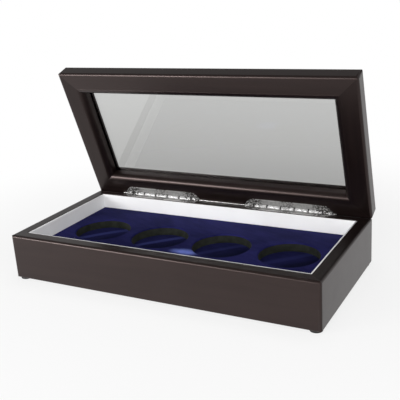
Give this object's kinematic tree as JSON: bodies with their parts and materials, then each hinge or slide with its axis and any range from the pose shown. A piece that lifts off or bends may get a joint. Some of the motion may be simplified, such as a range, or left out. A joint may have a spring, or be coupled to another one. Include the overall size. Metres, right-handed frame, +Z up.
{
  "type": "coin display case",
  "caption": "Wooden display case with a hinged glass lid and a velvet tray with round recesses for coin capsules.",
  "frame": {"origin": "on the surface the four feet stand on, under the middle of the base frame", "axes": "+X to the right along the case's length, +Y to the back where the hinges are, +Z up"},
  "size_m": [0.25, 0.1309, 0.1526],
  "materials": {
    "dark_wood": "satin lacquer over espresso brown stain",
    "white_satin": "smooth white satin over board",
    "blue_velvet": "short pile royal blue velvet",
    "black_core": "matt black foam board",
    "grey_board": "plain grey board",
    "hinge_nickel": "stamped and nickel plated, slightly worn",
    "wire_steel": "drawn bright wire",
    "clear_glass": "clear float glass",
    "foot_rubber": "matt black rubber"
  },
  "bodies": {
    "base": {"base_front_rail": "dark_wood", "base_back_rail": "dark_wood", "base_left_rail": "dark_wood", "base_right_rail": "dark_wood", "bottom_panel": "dark_wood", "foot_front_left": "foot_rubber", "foot_front_right": "foot_rubber", "foot_back_left": "foot_rubber", "foot_back_right": "foot_rubber", "lining_front": "white_satin", "lining_back": "white_satin", "lining_left": "white_satin", "lining_right": "white_satin", "tray_support_front": "grey_board", "tray_support_back": "grey_board", "tray_support_left": "grey_board", "tray_support_right": "grey_board", "recess_card": "grey_board", "recess_velvet": "blue_velvet", "tray_core": "black_core", "tray_velvet": "blue_velvet", "left_hinge_base_leaf": "hinge_nickel", "right_hinge_base_leaf": "hinge_nickel", "hinge_wire": "wire_steel", "left_hinge_base_nails": "hinge_nickel", "right_hinge_base_nails": "hinge_nickel"},
    "lid": {"lid_front_rail": "dark_wood", "lid_back_rail": "dark_wood", "lid_left_rail": "dark_wood", "lid_right_rail": "dark_wood", "glass_pane": "clear_glass", "bead_front": "dark_wood", "bead_back": "dark_wood", "bead_left": "dark_wood", "bead_right": "dark_wood", "left_hinge_lid_leaf": "hinge_nickel", "right_hinge_lid_leaf": "hinge_nickel", "left_hinge_lid_nails": "hinge_nickel", "right_hinge_lid_nails": "hinge_nickel"}
  },
  "joints": [
    {"name": "lid_hinge", "type": "hinge", "parent": "base", "child": "lid", "pos_m": [0, 0.058, 0.0376], "axis": [-1, 0, 0], "range_deg": [-70.5, 5]}
  ]
}
